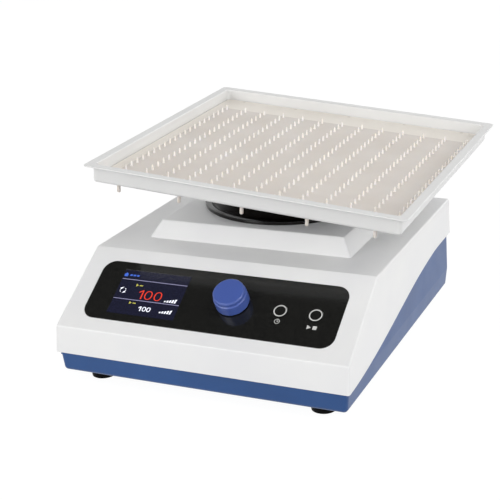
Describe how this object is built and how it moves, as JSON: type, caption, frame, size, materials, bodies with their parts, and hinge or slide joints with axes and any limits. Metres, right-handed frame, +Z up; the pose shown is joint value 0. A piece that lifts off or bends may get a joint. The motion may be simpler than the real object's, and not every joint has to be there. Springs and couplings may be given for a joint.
{
  "type": "waving shaker",
  "caption": "Bench shaker whose square studded tray rides a tilted crank on a sloping-front case with display panel, knob, keys and rear mains inlet.",
  "frame": {"origin": "on the bench, at the middle of the rectangle of the four feet", "axes": "+Z up, -Y towards the control panel, +X to the right seen from the front"},
  "size_m": [0.3061, 0.3605, 0.1923],
  "materials": {
    "white_abs": "satin moulded, fine grain",
    "blue_abs": "satin moulded",
    "knob_blue": "satin moulded",
    "panel_black": "glossy printed overlay",
    "display_glass": "glossy",
    "rubber_black": "glossy rubber",
    "ring_black": "glossy",
    "mat_rubber": "translucent milky silicone",
    "aluminium": "machined",
    "bearing_steel": "ground",
    "steel": "turned",
    "screw_steel": "zinc plated",
    "motor_paint": "satin",
    "board_green": "solder mask",
    "black_plastic": "moulded",
    "brass_pin": "nickel plated"
  },
  "bodies": {
    "base": {"bearing_housing": "aluminium", "bearing_lower": "bearing_steel", "bearing_spacer": "aluminium", "bearing_upper": "bearing_steel", "boot_ring": "ring_black", "control_board": "board_green", "cover_screw_back_left": "screw_steel", "cover_screw_back_right": "screw_steel", "cover_screw_front_left": "screw_steel", "cover_screw_front_right": "screw_steel", "display_module": "steel", "display_window": "display_glass", "drive_belt": "rubber_black", "drive_board": "board_green", "drive_frame": "steel", "encoder_body": "black_plastic", "encoder_nut": "steel", "foot_back_left": "rubber_black", "foot_back_right": "rubber_black", "foot_front_left": "rubber_black", "foot_front_right": "rubber_black", "foot_screw_back_left": "screw_steel", "foot_screw_back_right": "screw_steel", "foot_screw_front_left": "screw_steel", "foot_screw_front_right": "screw_steel", "front_panel": "panel_black", "inlet_pin_earth": "brass_pin", "inlet_pin_live": "brass_pin", "inlet_pin_neutral": "brass_pin", "key_switch_start": "black_plastic", "key_switch_time": "black_plastic", "lower_case": "blue_abs", "mains_inlet": "black_plastic", "motor": "motor_paint", "power_supply": "motor_paint", "switch_frame": "black_plastic", "top_cover": "white_abs"},
    "rotor": {"main_shaft": "steel", "driven_pulley": "aluminium", "crank_head": "steel", "crank_pin": "steel", "pin_cap": "steel", "boot": "rubber_black", "boot_band": "steel"},
    "platform": {"platform_hub": "aluminium", "hub_bearing_lower": "bearing_steel", "hub_bearing_upper": "bearing_steel", "support_plate": "aluminium", "tray": "white_abs", "mat_backing": "mat_rubber", "mat": "mat_rubber"},
    "motor_rotor": {"motor_shaft": "steel", "motor_pulley": "aluminium"},
    "encoder_rotor": {"encoder_sleeve": "steel"},
    "knob": {"knob": "knob_blue"},
    "key_time": {"key_time": "panel_black"},
    "key_start": {"key_start": "panel_black"},
    "rocker": {"rocker": "black_plastic"}
  },
  "joints": [
    {"name": "drive_spin", "type": "hinge", "parent": "base", "child": "rotor", "pos_m": [0, 0.0602, 0.0981], "axis": [0, 0, 1], "continuous": true},
    {"name": "platform_counter", "type": "hinge", "parent": "rotor", "child": "platform", "pos_m": [0.01201, 0.05639, 0.0981], "axis": [0.0831, -0.0264, 0.9962], "continuous": true},
    {"name": "motor_spin", "type": "hinge", "parent": "base", "child": "motor_rotor", "pos_m": [-0.072, 0.0602, 0.0649], "axis": [0, 0, 1], "continuous": true},
    {"name": "knob_turn", "type": "hinge", "parent": "base", "child": "encoder_rotor", "pos_m": [0.0185, -0.11279, 0.0778], "axis": [0, -0.5284, 0.849], "continuous": true},
    {"name": "knob_push", "type": "slide", "parent": "encoder_rotor", "child": "knob", "axis": [0, 0.5284, -0.849], "range_m": [0, 0.0005], "stiffness_N_per_m": 3000, "springref_m": -0.0005},
    {"name": "key_time_press", "type": "slide", "parent": "base", "child": "key_time", "axis": [0, 0.5284, -0.849], "range_m": [0, 0.0008], "stiffness_N_per_m": 1500, "springref_m": -0.0005},
    {"name": "key_start_press", "type": "slide", "parent": "base", "child": "key_start", "axis": [0, 0.5284, -0.849], "range_m": [0, 0.0008], "stiffness_N_per_m": 1500, "springref_m": -0.0005},
    {"name": "rocker_tilt", "type": "hinge", "parent": "base", "child": "rocker", "pos_m": [-0.046, 0.1522, 0.0375], "axis": [-1, 0, 0], "range_deg": [0, 16]}
  ],
  "couplings": [
    {"joint": "platform_counter", "follows": "drive_spin", "ratio": -1},
    {"joint": "motor_spin", "follows": "drive_spin", "ratio": 3}
  ]
}
